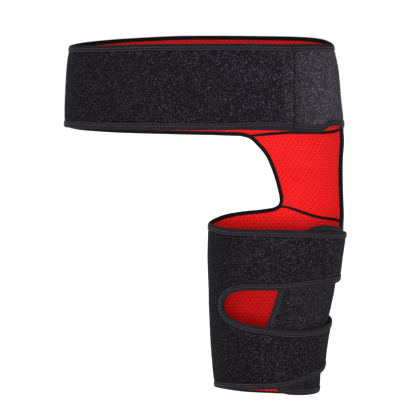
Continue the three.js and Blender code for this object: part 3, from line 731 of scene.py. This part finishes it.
def hip_cut(pitch, row_pitch):
    rows = rows_between(0, 1, row_pitch / HIP_HEIGHT, 0.5)
    flat = (hip_face, np.clip(rows, 0, 1), 4, -1.0, 9.0)
    cut = (hip_inner, hip_outer, np.zeros_like, np.ones_like)
    return cut_cloth(hip_face, [lay_threads(*flat, *cut, pitch)])


hip_plush = plush_layer("hip_panel_plush", hip_face, hip_cut(PLUSH_CELL, PLUSH_CELL))
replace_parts(hip_plush, "hip_panel_shell")
hip_lining = lining_layer("hip_panel_red_lining", hip_face, hip_cut(HOLE_SPACE, HOLE_ROWS))
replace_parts(hip_lining, "hip_panel_lining")

# --------------------------------------------------
# Binding tape: soft black woven tape, folded over the cut edges and sewn down with two rows of
# stitches outside and one inside. It is drawn in round a fold, and the stitches pull small dents.
TAPE_SECTION = [  # past the edge, and out from the body, in millimetres
    (-4.6, -0.45), (-4.4, -0.8), (-3.8, -0.95), (-2.9, -1.02), (-1.8, -1.0), (-0.6, -0.75),
    (0.35, -0.1), (0.88, 0.8), (1.0, 1.65), (0.88, 2.5), (0.35, 3.4), (-0.6, 4.1),
    (-1.9, 4.38), (-3.5, 4.25), (-5.0, 4.36), (-6.6, 4.2), (-7.3, 4.1), (-7.5, 3.75),
    (-7.1, 3.62), (-3.4, 3.72), (-1.9, 3.68), (-0.7, 3.3), (0.25, 2.4), (0.42, 1.65),
    (0.25, 0.9), (-0.7, 0.0), (-1.9, -0.4), (-2.9, -0.42), (-4.2, -0.32),
]
TAPE_CUT = 0.017  # width of the tape before it is folded
TAPE_SHADING = 0.02  # way round the section over which the fold's painted light and shade are set
TAPE_JOINT = 387  # where the tape's ends meet on the wrap
FLAP_JOINT = 90  # and on its hem
INNER_TURNS = (-0.94, -1.11)  # columns where the tape leaves the belt and comes on to the wrap
OUTER_TURNS = (9.55, 9.15)
HEM_HEIGHT = -0.38  # what lies lower is the hem
HEM_NARROWER = 0.55  # how much narrower the tape's inner leg is there, at the back
HEM_BACK = (92, 60, 30)  # angle of the back, and how far from it that begins and is whole
STITCH = 0.0033  # from one stitch to the next
STITCH_SHOWS = 0.72  # share of that which lies on the tape
PUCKER = (0.00012, 0.001)  # depth and width of the dent that a stitch pulls
THREAD = 0.00034  # half the thread's thickness
ROWS_OUTSIDE = (-0.0036, -0.0066)  # past the edge
ROW_INSIDE = -0.0034
TAPE_OUTSIDE = 0.00428  # the tape's two faces, out from the body
TAPE_INSIDE = -0.00096

binding, tree, shader = new_material("binding_tape")
weave = add(tree, "ShaderNodeUVMap", {}, uv_map="tape").outputs["UV"]
wave = {"Vector": weave, "Scale": 320, "Distortion": 1.2, "Detail": 1.0, "Detail Scale": 2.0}
ribs = add(tree, "ShaderNodeTexWave", wave, bands_direction="X").outputs["Fac"]
fuzz = noise(tree, 900, 3)
tape_tones = [
    (0.3, (0.0092, 0.0081, 0.0107)),
    (0.6, (0.016, 0.0142, 0.0186)),
    (0.8, (0.031, 0.0281, 0.0346)),
]
tone = ramp(tree, fuzz, tape_tones)
tone = times(tree, tone, ramp(tree, noise(tree, 45, 2), [(0.3, 0.8), (0.7, 1.2)]))
across = add(tree, "ShaderNodeSeparateXYZ", {"Vector": weave}).outputs["Y"]
fold = reckon(tree, "MULTIPLY", across, 1 / TAPE_SHADING)
# painted light and shade: painted shade on the inside leg, a painted highlight over the fold, and
# painted shade on the rows of stitches, which lie in hollows
fold_light_and_shade = [
    (0.35, 0.3), (0.44, 1.0), (0.56, 0.95), (0.66, 0.55), (0.74, 0.9), (0.815, 0.5), (0.85, 0.8)
]
tone = times(tree, tone, ramp(tree, fold, fold_light_and_shade))
relief = (reckon(tree, "ADD", ribs, fuzz), 0.35, 0.0003)
finish(tree, shader, tone, relief, 0.8, 0.08, (0.02, 0.4, (0.8, 0.8, 0.84, 1)))


def thread_material(name, dark, light, gloss=0.15):
    """Twisted thread between two tones."""
    material, tree, shader = new_material(name)
    twist = noise(tree, 1500, 3)
    tone = ramp(tree, twist, [(0.3, dark), (0.7, light)])
    finish(tree, shader, tone, (twist, 0.4, 0.0002), 0.6, gloss)
    return material


thread = thread_material("sewing_thread", (0.042, 0.039, 0.047), (0.1, 0.095, 0.11))
bobbin_thread = thread_material("bobbin_thread", (0.006, 0.006, 0.007), (0.02, 0.019, 0.022))


def carry(path, section, spacing):
    """A section carried along an edge with the cloth on its right, at even spaces, and the length.

    The section's points are (past the edge, out from the body), in metres. The leg inside is
    narrower along the back of the hem."""
    line = np.concatenate([face(u, v) for face, u, v in path])
    heading = np.gradient(line, axis=0)
    rings, start = [], 0
    for face, u, v in path:
        ahead = heading[start : start + len(u)]
        start += len(u)
        along, across, out = directions(face, u, v)
        past = np.cross(out, ahead)
        past /= np.linalg.norm(past, axis=1, keepdims=True)
        dot = lambda a, b: np.einsum("ij,ij->i", a, b)
        uu, uv, vv = dot(along, along), dot(along, across), dot(across, across)
        pu, pv = dot(along, past), dot(across, past)
        area = uu * vv - uv * uv
        du, dv = (pu * vv - pv * uv) / area, (pv * uu - pu * uv) / area
        back, begins, whole = HEM_BACK
        hem = HEM_NARROWER * (v < HEM_HEIGHT) * smooth(np.abs(u - back), begins, whole)
        ring = []
        for past_edge, o in section:
            on_inner_leg = past_edge < 0 and o < 0.0005
            p = past_edge * (1 - hem) if on_inner_leg else past_edge
            ring.append(lift(face, u + du * p, v + dv * p, o))
        rings.append(np.stack(ring, axis=1))
    rings = np.concatenate(rings)
    run = np.concatenate([[0], np.cumsum(np.linalg.norm(np.diff(line, axis=0), axis=1))])
    even = np.linspace(0, run[-1], round(run[-1] / spacing) + 1)
    flat = rings.reshape(len(rings), -1)
    flat = np.stack([np.interp(even, run, flat[:, k]) for k in range(flat.shape[1])], axis=1)
    weights = np.array([1, 2, 3, 4, 3, 2, 1]) / 16  # evens out the turns of the path
    ends = 2 * flat[:1] - flat[3:0:-1], 2 * flat[-1:] - flat[-2:-5:-1]
    wide = np.concatenate([ends[0], flat, ends[1]])
    flat = sum(w * wide[k : k + len(flat)] for k, w in enumerate(weights))
    return flat.reshape(len(flat), -1, 3), run[-1]


def tube_faces(count, sides):
    """Walls and both ends of a closed section carried through a count of rings."""
    index = np.arange(count * sides).reshape(count, sides)
    after = np.roll(index, -1, axis=1)
    walls = np.stack([index[:-1], after[:-1], after[1:], index[1:]], axis=-1).reshape(-1, 4)
    return walls.tolist() + [index[0][::-1].tolist(), index[-1].tolist()]


def tape(name, path):
    """A length of binding, dented at each stitch. Its UVs run along and across the weave."""
    section = np.array(TAPE_SECTION) / 1000
    rings, length = carry(path, section, STITCH / 2)
    sides = len(section)
    middle = rings.mean(axis=1, keepdims=True)
    dent = np.zeros(sides)
    for sewn in (*ROWS_OUTSIDE, ROW_INSIDE):
        dent += PUCKER[0] * np.exp(-(((section[:, 0] - sewn) / PUCKER[1]) ** 2))
    inward = middle - rings
    inward /= np.linalg.norm(inward, axis=2, keepdims=True)
    rings[::2] += (inward * dent[None, :, None])[::2]
    count = len(rings)
    made = make_piece(name, rings.reshape(-1, 3), tube_faces(count, sides), [binding])
    run = np.repeat(np.linspace(0, length, count), sides)
    around = np.concatenate([[0], np.cumsum(np.linalg.norm(np.diff(section, axis=0), axis=1))])
    uvs = np.stack([run, np.tile(around, count)], axis=1)
    corners = np.zeros(len(made.data.loops), np.int32)
    made.data.loops.foreach_get("vertex_index", corners)
    made.data.uv_layers.new(name="tape").data.foreach_set("uv", uvs[corners].ravel())
    return made


def sew(path, past, out, side):
    """A row of stitches beside an edge: slim beads of thread whose ends dive into the cloth.

    side is 1 outside and -1 inside."""
    step = 0.001
    guide = [(past, out), (past, out + step), (past + step, out)]
    rings, length = carry(path, guide, 0.0015)
    run = np.linspace(0, length, len(rings))
    at = lambda s, k: np.stack([np.interp(s, run, rings[:, k, c]) for c in range(3)], axis=-1)
    count = int(length / STITCH) - 1
    share = np.array([0.0, 0.12, 0.5, 0.88, 1.0])  # rings along a bead, and how high they lie
    rise = np.array([-0.9, 0.35, 0.75, 0.35, -0.9]) * THREAD
    starts = (np.arange(count) + 0.6) * STITCH
    s = starts[:, None] + share[None] * STITCH * STITCH_SHOWS
    centre = at(s, 0)
    up = side * (at(s, 1) - centre) / step
    across = (at(s, 2) - centre) / step
    centre = centre + up * rise[None, :, None]
    turn = np.radians(72 * np.arange(5))
    circle = across[:, :, None] * np.cos(turn)[:, None] + up[:, :, None] * np.sin(turn)[:, None]
    points = centre[:, :, None] + circle * THREAD
    index = np.arange(count * 25).reshape(count, 5, 5)
    after = np.roll(index, -1, axis=2)
    walls = np.stack([index[:, :-1], after[:, :-1], after[:, 1:], index[:, 1:]], axis=-1)
    caps = np.concatenate([index[:, 0, ::-1], index[:, -1]])
    if side > 0:
        walls, caps = walls[..., ::-1], caps[:, ::-1]
    return points.reshape(-1, 3), walls.reshape(-1, 4).tolist() + caps.tolist(), side


def stitching(name, rows):
    """Several rows of stitches as one piece, grey outside and black on the lining."""
    points, faces, finishes, start = [], [], [], 0
    for row_points, row_faces, side in rows:
        points.append(row_points)
        faces += [[start + c for c in f] for f in row_faces]
        finishes += [0 if side > 0 else 1] * len(row_faces)
        start += len(row_points)
    made = make_piece(name, np.concatenate(points), faces, [thread, bobbin_thread], finishes)
    return made


def walk(face, side, start, end, steps):
    """Places along one edge of a piece, from one angle to another."""
    u = np.linspace(start, end, steps)
    return face, u, side(u)


def strap_walks():
    """The tape round both strap ends and the gap between them, as one path."""
    turn = np.radians(np.linspace(90, 0, 10))
    corner = STRAP_END - (1 - np.cos(turn)) * STRAP_CORNER / ARC
    reach = corner[0]
    end = float(STRAP_END)
    upper = np.linspace(float(wrap_high(end)), float(gap_roof(end)), 24)[1:-1]
    lower = np.linspace(float(gap_floor(end)), float(wrap_low(end)), 24)[1:-1]
    opening = np.radians(np.linspace(90, 4, 24))
    roof_mouth = GAP_ANGLE + (1 - np.cos(opening)) * GAP_ROUNDS["upper"] / ARC
    floor_mouth = GAP_ANGLE + (1 - np.cos(opening[::-1])) * GAP_ROUNDS["lower"] / ARC
    top = np.concatenate([np.linspace(TAPE_JOINT, reach, 20)[:-1], corner])
    roof = np.concatenate([corner[::-1], np.linspace(reach, roof_mouth[0], 200)[1:-1], roof_mouth])
    floor = np.concatenate([floor_mouth, np.linspace(floor_mouth[-1], reach, 200)[1:-1], corner])
    bottom = np.concatenate([corner[::-1], np.linspace(reach, TAPE_JOINT, 20)[1:]])
    return [
        (wrap_face, top, wrap_high(top)),
        (wrap_face, np.full_like(upper, end), upper),
        (wrap_face, roof, gap_roof(roof)),
        (wrap_face, floor, gap_floor(floor)),
        (wrap_face, np.full_like(lower, end), lower),
        (wrap_face, bottom, wrap_low(bottom)),
    ]


def flap_walks():
    """The tape from the wrap's bottom edge up the flap's slanted end and on to its top edge."""
    shares = (1 - np.cos(np.radians(np.linspace(90, 0, 10)))) * FLAP_CORNER / FLAP_WIDTH
    low, high = (edge(WRAP, table, FLAP_END[0][1]) for table in (WRAP_BOTTOM, WRAP_TOP))
    bottom = flap_end(low) + shares * (FLAP_ANGLE - flap_end(low))
    top = (flap_end(high) + shares * (FLAP_ANGLE - flap_end(high)))[::-1]
    first, last = float(wrap_low(bottom[-1:])[0]), float(wrap_high(top[:1])[0])
    rise = np.linspace(first, last, 60)[1:-1]
    before = np.linspace(FLAP_JOINT, bottom[0], 170)[:-1]
    after = np.linspace(top[-1], on_wrap(OUTER_TURNS[1]), 90)[1:]
    return [
        (wrap_face, before, wrap_low(before)),
        (wrap_face, bottom, wrap_low(bottom)),
        (wrap_face, flap_end(rise), rise),
        (wrap_face, top, wrap_high(top)),
        (wrap_face, after, wrap_high(after)),
    ]


down = np.linspace(0.004, 0.996, 90)
top_end, bottom_end = (
    float(belt_end(np.array([side(307.0)]))[0]) for side in (belt_high, belt_low)
)
top_edge = [walk(belt_face, belt_high, WING_ANGLE, top_end, 640)]
inner_edge = [
    walk(belt_face, belt_low, bottom_end, on_belt(INNER_TURNS[0]), 420),
    (hip_face, hip_inner(down), down),
    walk(wrap_face, wrap_high, on_wrap(INNER_TURNS[1]), TAPE_JOINT, 360),
]
hem_edge = [walk(wrap_face, wrap_low, TAPE_JOINT, FLAP_JOINT, 340)]
outer_edge = [
    *flap_walks(),
    (hip_face, hip_outer(down[::-1]), down[::-1]),
    walk(belt_face, belt_low, on_belt(OUTER_TURNS[0]), WING_ANGLE, 150),
]
for name, cloth, path in (
    ("belt_top_tape", belt_plush, top_edge),
    ("inner_edge_tape", hip_plush, inner_edge),
    ("strap_gap_tape", wrap_plush, strap_walks()),
    ("wrap_bottom_tape", wrap_plush, hem_edge),
    ("outer_edge_tape", hip_plush, outer_edge),
):
    bound = tape(name, path)
    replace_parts(bound, name.replace("tape", "binding"))
    rows = [sew(path, past, TAPE_OUTSIDE, 1) for past in ROWS_OUTSIDE]
    rows.append(sew(path, ROW_INSIDE, TAPE_INSIDE, -1))
    sewn = stitching(name.replace("tape", "stitches"), rows)
    flat = (TAPE_CUT, carry(path, [(0, 0)], 0.01)[1])

# --------------------------------------------------
# Flat seams between the panel and the belt, and between the panel and the wrap: the cut edges are
# butted and sewn over from both sides with close stitches of thick black thread.
SEAM_SECTION = [  # to either side of the seam, and out from the body
    (0.0018, -0.0007), (0.0017, -0.0002), (0.0003, -0.0001), (0.0003, 0.0034),
    (0.00265, 0.0035), (0.00275, 0.0039), (0.0015, 0.0043), (0.0, 0.0044),
    (-0.0015, 0.0043), (-0.00275, 0.0039), (-0.00265, 0.0035), (-0.0003, 0.0034),
    (-0.0003, -0.0001), (-0.0017, -0.0002), (-0.0018, -0.0007), (-0.0011, -0.001),
    (0.0, -0.0011), (0.0011, -0.001),
]
BELT_SEAM = (-0.58, 9.12)  # columns between which each runs, its ends under the tape
THIGH_SEAM = (-0.68, 8.72)
SEAM_STITCH = 0.0008
SEAM_RIB = 0.12  # how much each stitch stands out of the seam
SEAM_TAPER = (0.25, 8, 20)  # how much the ends narrow, and over which of their stitches
seam_thread = thread_material("seam_thread", (0.004, 0.0036, 0.0045), (0.013, 0.012, 0.0145), 0.03)


def flat_seam(name, path):
    """Band of dense stitches that stands up in a rib at each one."""
    rings, _ = carry(path, SEAM_SECTION, SEAM_STITCH)
    middle = rings.mean(axis=1, keepdims=True)
    rings[::2] += (rings - middle)[::2] * SEAM_RIB
    count = len(rings)
    ends = np.minimum(np.arange(count), np.arange(count)[::-1])[:, None, None]
    narrower, first, last = SEAM_TAPER
    rings += (middle - rings) * narrower * (1 - smooth(ends, first, last))
    faces = tube_faces(count, len(SEAM_SECTION))
    return make_piece(name, rings.reshape(-1, 3), faces, [seam_thread])


over, under = on_belt(np.linspace(*BELT_SEAM, 130)), on_wrap(np.linspace(*THIGH_SEAM, 130))
belt_line = (belt_face, over, belt_low(over) - SEAM_GAP / 2)
thigh_line = (wrap_face, under, edge(WRAP, WRAP_TOP, under) + SEAM_GAP / 2)
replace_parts(flat_seam("belt_flat_seam", [belt_line]), "belt_seam")
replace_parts(flat_seam("thigh_flat_seam", [thigh_line]), "thigh_seam")

# --------------------------------------------------
# The belt's closing end is cut square and not bound. One row of stitches beside it holds the hook
# patch that is sewn on behind.
END_ROW = -0.0026  # past the closing end
PILE_TOP, LINING_FACE = 0.0039, -0.0001  # where its threads lie, out from the body
end_heights = np.linspace(0.044, -0.046, 80)
end_path = [(belt_face, belt_end(end_heights), end_heights)]
end_rows = [sew(end_path, END_ROW, PILE_TOP, 1), sew(end_path, END_ROW, LINING_FACE, -1)]
end_stitches = stitching("closing_end_stitches", end_rows)

# --------------------------------------------------
# Hook patches: stiff black tape with rows of small moulded hooks, sewn to the inside of the belt's
# closing end and of both strap ends. They grip the plush of the layer that they lie on.
HOOK_REACH = 0.0012  # how far the hooks stand off their backing
HOOK_ROOTS = 0.35  # share of that between two rows
HOOK_INSET = 0.01  # from the cloth's edge to the patch
HOOK_FACE = -0.0003  # the backing's face, sewn to the lining
hooks, tree, shader = new_material("hook_tape")
stalks, _ = grains(tree, 1100, 0.3)
tone = ramp(tree, noise(tree, 60, 3), [(0.3, (0.008, 0.008, 0.009)), (0.7, (0.022, 0.022, 0.025))])
finish(tree, shader, tone, (stalks, 0.8, 0.0004), 0.45)


def hook_patch(name, face, start, end, low, high):
    """A patch whose rows of hooks are ridges between its backing and the layer that it grips."""
    across = np.linspace(start, end, 46)
    shares = np.linspace(0, 1, 34)
    bottom, top = low(across) + HOOK_INSET, high(across) - HOOK_INSET
    u = np.repeat(across[:, None], len(shares), axis=1)
    v = bottom[:, None] + (top - bottom)[:, None] * shares
    ridge = np.where(np.arange(len(shares)) % 2 == 0, 1, HOOK_ROOTS)
    inner = lift(face, u, v, HOOK_FACE - HOOK_REACH * np.broadcast_to(ridge, u.shape))
    outer = lift(face, u, v, HOOK_FACE)
    index = np.arange(u.size).reshape(u.shape)
    cells = np.stack([index[:-1, :-1], index[1:, :-1], index[1:, 1:], index[:-1, 1:]], axis=-1)
    cells = cells.reshape(-1, 4)
    border = np.concatenate([index[:, 0], index[-1, 1:], index[-2::-1, -1], index[0, -2:0:-1]])
    rim = [[b, a, a + u.size, b + u.size] for a, b in zip(border, np.roll(border, -1))]
    faces = cells.tolist() + (cells[:, ::-1] + u.size).tolist() + [list(map(int, f)) for f in rim]
    points = np.concatenate([outer.reshape(-1, 3), inner.reshape(-1, 3)])
    return make_piece(name, points, faces, [hooks])


for where, angles, face, low, high, cloth, flat in (
    ("belt", (287, 304), belt_face, belt_low, belt_high, belt_plush, (0.0865, 0.05)),
    ("upper_strap", (362, 399), wrap_face, gap_roof, wrap_high, wrap_plush, (0.045, 0.054)),
    ("lower_strap", (362, 399), wrap_face, wrap_low, gap_floor, wrap_plush, (0.043, 0.046)),
):
    patch = hook_patch(f"{where}_hooks", face, *angles, low, high)
    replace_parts(patch, f"{where}_hook_patch")

# --------------------------------------------------
# The studio: a plain white floor under the brace, soft light all round that is brightest level
# with it, and three soft lights at the height of the thigh. The lens is long, and stands at the
# height of the waist.
floor_material, tree, shader = new_material("studio_floor")
for socket, value in {
    "Base Color": (0.86, 0.86, 0.86, 1),
    "Roughness": 0.9,
    "Specular IOR Level": 0.1,
    "Emission Color": (1, 1, 1, 1),
    "Emission Strength": 0.97,
}.items():
    shader.inputs[socket].default_value = value
HALF_FLOOR = 30
floor_level = cad_box[0][2] - 0.0005  # just clear of the hem
corners = [(-1, -1), (1, -1), (1, 1), (-1, 1)]
corners = [(HALF_FLOOR * x, HALF_FLOOR * y, floor_level) for x, y in corners]
floor_mesh = bpy.data.meshes.new("studio_floor")
floor_mesh.from_pydata(corners, [], [(0, 1, 2, 3)])
floor_mesh.materials.append(floor_material)
floor = bpy.data.objects.new("studio_floor", floor_mesh)
bpy.context.scene.collection.objects.link(floor)
floor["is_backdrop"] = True
floor.visible_diffuse = False  # it is seen, but throws no light up at the brace

world = bpy.data.worlds.new("studio")
world.use_nodes = True
sky = world.node_tree
direction = add(sky, "ShaderNodeTexCoord", {}).outputs["Generated"]
upward = add(sky, "ShaderNodeSeparateXYZ", {"Vector": direction}).outputs["Z"]
slope = reckon(sky, "ABSOLUTE", upward)
surround = ramp(sky, slope, [(0.09, 1.0), (0.16, 0.4)])
sky.links.new(surround, sky.nodes["Background"].inputs["Color"])
sky.nodes["Background"].inputs["Strength"].default_value = 1.0
bpy.context.scene.world = world
bpy.context.scene.view_settings.view_transform = "Standard"


def set_up(name, data, place, aim):
    """Stands a light or the camera at a place, turned towards another."""
    stood = bpy.data.objects.new(name, data)
    stood.location = place
    stood.rotation_euler = (Vector(aim) - Vector(place)).to_track_quat("-Z", "Y").to_euler()
    bpy.context.scene.collection.objects.link(stood)
    return stood


for name, place, size, power in (
    ("right_light", (1.1, -1.6, -0.25), 0.9, 12),
    ("left_light", (-1.6, -2.2, -0.25), 0.9, 34),
    ("front_light", (-0.2, -3.4, -0.22), 0.6, 50),
):
    light = bpy.data.lights.new(name, "AREA")
    light.shape = "DISK"
    light.size = size
    light.energy = power
    set_up(name, light, place, aim=(0, 0, -0.17))

lens = bpy.data.cameras.new("camera")
lens.lens = 209.79
lens.sensor_width = 36
lens.clip_end = 100
camera = set_up("camera", lens, (0.00726, -3.19695, -0.02014), aim=(0.00726, 0, -0.15972))
bpy.context.scene.camera = camera

boxes = {"cad": cad_box, "visual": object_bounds()}
boxes = {name: [list(map(float, corner)) for corner in box] for name, box in boxes.items()}
